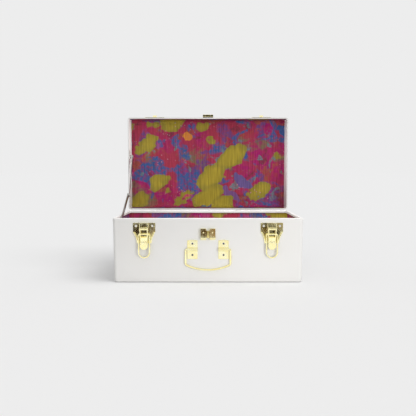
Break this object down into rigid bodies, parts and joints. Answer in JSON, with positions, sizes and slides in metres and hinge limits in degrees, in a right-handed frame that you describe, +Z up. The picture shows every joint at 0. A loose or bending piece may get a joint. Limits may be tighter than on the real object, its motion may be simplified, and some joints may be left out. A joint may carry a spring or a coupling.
{
  "type": "storage trunk",
  "caption": "Painted steel keepsake trunk, stored open, with a lined base and hinged lid, draw latches, a bail handle, a centre hasp and a folding lid stay.",
  "frame": {"origin": "on the floor under the middle of the base", "axes": "+X right, -Y front, +Z up"},
  "size_m": [0.3056, 0.2304, 0.2863],
  "materials": {
    "paint": "satin white paint",
    "lining": "printed board, washes of crimson, magenta, blue and mustard",
    "brass": "polished brass plate",
    "rivet_metal": "bright nickel",
    "stay_metal": "dark plated steel"
  },
  "bodies": {
    "base": {"base_shell": "paint", "base_wall_liner": "lining", "base_floor_liner": "lining", "clasp_catch": "brass", "latch_rivets": "rivet_metal", "handle_screws": "rivet_metal", "hinge_base_rivets": "paint", "catch_rivets": "brass", "stay_base_rivets": "rivet_metal", "stay_base_bracket": "stay_metal", "stay_base_pin": "stay_metal", "left_hinge_base_leaf": "paint", "left_hinge_pin": "paint", "left_latch_plate": "brass", "left_latch_pin": "brass", "left_handle_plate": "brass", "right_hinge_base_leaf": "paint", "right_hinge_pin": "paint", "right_latch_plate": "brass", "right_latch_pin": "brass", "right_handle_plate": "brass"},
    "lid": {"lid_shell": "paint", "lid_liner": "lining", "hasp_plate": "brass", "hasp_pin": "brass", "keeper_rivets": "rivet_metal", "hinge_lid_rivets": "paint", "hasp_rivets": "rivet_metal", "stay_lid_bracket": "stay_metal", "stay_lid_rivets": "rivet_metal", "stay_lid_pin": "stay_metal", "left_hinge_lid_leaf": "paint", "left_keeper": "brass", "right_hinge_lid_leaf": "paint", "right_keeper": "brass"},
    "left_lever": {"left_latch_lever": "brass"},
    "right_lever": {"right_latch_lever": "brass"},
    "left_loop": {"left_latch_loop": "brass"},
    "right_loop": {"right_latch_loop": "brass"},
    "bail": {"handle_bail": "brass"},
    "hasp": {"hasp_tongue": "brass"},
    "stay_lower": {"stay_lower_arm": "stay_metal"},
    "stay_upper": {"stay_upper_arm": "stay_metal"}
  },
  "joints": [
    {"name": "lid_hinge", "type": "hinge", "parent": "base", "child": "lid", "pos_m": [0, 0.0891, 0.10365], "axis": [-1, 0, 0], "range_deg": [-90, 0]},
    {"name": "left_lever_lift", "type": "hinge", "parent": "base", "child": "left_lever", "pos_m": [-0.1019, -0.094, 0.086], "axis": [-1, 0, 0], "range_deg": [0, 100]},
    {"name": "left_loop_swing", "type": "hinge", "parent": "left_lever", "child": "left_loop", "pos_m": [-0.1019, -0.092, 0.0782], "axis": [1, 0, 0], "range_deg": [-183, 0]},
    {"name": "right_lever_lift", "type": "hinge", "parent": "base", "child": "right_lever", "pos_m": [0.1019, -0.094, 0.086], "axis": [-1, 0, 0], "range_deg": [0, 100]},
    {"name": "right_loop_swing", "type": "hinge", "parent": "right_lever", "child": "right_loop", "pos_m": [0.1019, -0.092, 0.0782], "axis": [1, 0, 0], "range_deg": [-183, 0]},
    {"name": "bail_swing", "type": "hinge", "parent": "base", "child": "bail", "pos_m": [0, -0.08925, 0.0535], "axis": [-1, 0, 0], "range_deg": [0, 165]},
    {"name": "hasp_swing", "type": "hinge", "parent": "lid", "child": "hasp", "pos_m": [0, 0.09375, 0.28395], "axis": [-1, 0, 0], "range_deg": [-180, 0]},
    {"name": "stay_lower_swing", "type": "hinge", "parent": "base", "child": "stay_lower", "pos_m": [-0.14735, -0.0398, 0.0909], "axis": [1, 0, 0], "range_deg": [-44, 0]},
    {"name": "stay_upper_swing", "type": "hinge", "parent": "lid", "child": "stay_upper", "pos_m": [-0.14555, 0.09735, 0.206], "axis": [1, 0, 0], "range_deg": [-4.05, 0]}
  ],
  "couplings": [
    {"joint": "stay_lower_swing", "follows": "lid_hinge", "ratio": 0.48836},
    {"joint": "stay_upper_swing", "follows": "lid_hinge", "ratio": 0.04445}
  ]
}
